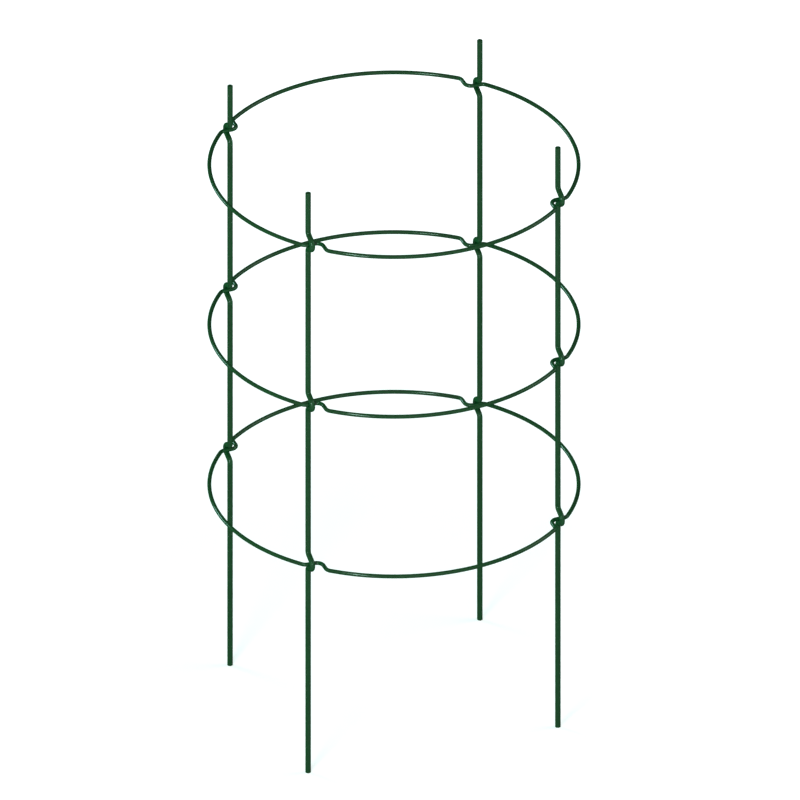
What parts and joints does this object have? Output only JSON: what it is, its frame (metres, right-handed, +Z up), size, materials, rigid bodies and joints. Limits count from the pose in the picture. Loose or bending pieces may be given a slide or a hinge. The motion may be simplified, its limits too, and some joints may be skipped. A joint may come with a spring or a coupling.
{
  "type": "plant support",
  "caption": "Folding wire plant support: level ring hoops carried by upright stakes, whose kinks turn on straight pockets in each ring so that the cage folds flat.",
  "frame": {"origin": "on the ground that the stakes' feet stand on, under the centre of the rings", "axes": "+Z up along the stakes; X along the hinge lines, which the rings' straight pockets give; -Y is the front, and the support folds along Y"},
  "size_m": [0.3034, 0.3034, 0.5433],
  "materials": {
    "stake_coat": "smooth dark green plastic coat on steel wire, satin",
    "ring_coat": "smooth dark green plastic coat on steel wire, satin"
  },
  "bodies": {
    "ring_bottom": {"ring_bottom": "ring_coat"},
    "stake_front_left": {"stake_front_left": "stake_coat"},
    "stake_front_right": {"stake_front_right": "stake_coat"},
    "stake_back_left": {"stake_back_left": "stake_coat"},
    "stake_back_right": {"stake_back_right": "stake_coat"},
    "ring_middle": {"ring_middle": "ring_coat"},
    "ring_top": {"ring_top": "ring_coat"}
  },
  "joints": [
    {"name": "fold", "type": "hinge", "parent": "ring_bottom", "child": "stake_front_left", "pos_m": [-0.10794, -0.09861, 0.1985], "axis": [1, 0, 0], "range_deg": [-84.5, 84.5]},
    {"name": "fold_front_right", "type": "hinge", "parent": "ring_bottom", "child": "stake_front_right", "pos_m": [0.10794, -0.09861, 0.1985], "axis": [1, 0, 0], "range_deg": [-84.5, 84.5]},
    {"name": "fold_back_left", "type": "hinge", "parent": "ring_bottom", "child": "stake_back_left", "pos_m": [-0.10794, 0.09861, 0.1985], "axis": [1, 0, 0], "range_deg": [-84.5, 84.5]},
    {"name": "fold_back_right", "type": "hinge", "parent": "ring_bottom", "child": "stake_back_right", "pos_m": [0.10794, 0.09861, 0.1985], "axis": [1, 0, 0], "range_deg": [-84.5, 84.5]},
    {"name": "ring_middle_level", "type": "hinge", "parent": "stake_front_left", "child": "ring_middle", "pos_m": [-0.10794, -0.09861, 0.3483], "axis": [1, 0, 0], "range_deg": [-84.5, 84.5]},
    {"name": "ring_top_level", "type": "hinge", "parent": "stake_front_left", "child": "ring_top", "pos_m": [-0.10794, -0.09861, 0.4981], "axis": [1, 0, 0], "range_deg": [-84.5, 84.5]}
  ],
  "couplings": [
    {"joint": "fold_front_right", "follows": "fold", "ratio": 1},
    {"joint": "fold_back_left", "follows": "fold", "ratio": 1},
    {"joint": "fold_back_right", "follows": "fold", "ratio": 1},
    {"joint": "ring_middle_level", "follows": "fold", "ratio": -1},
    {"joint": "ring_top_level", "follows": "fold", "ratio": -1}
  ]
}
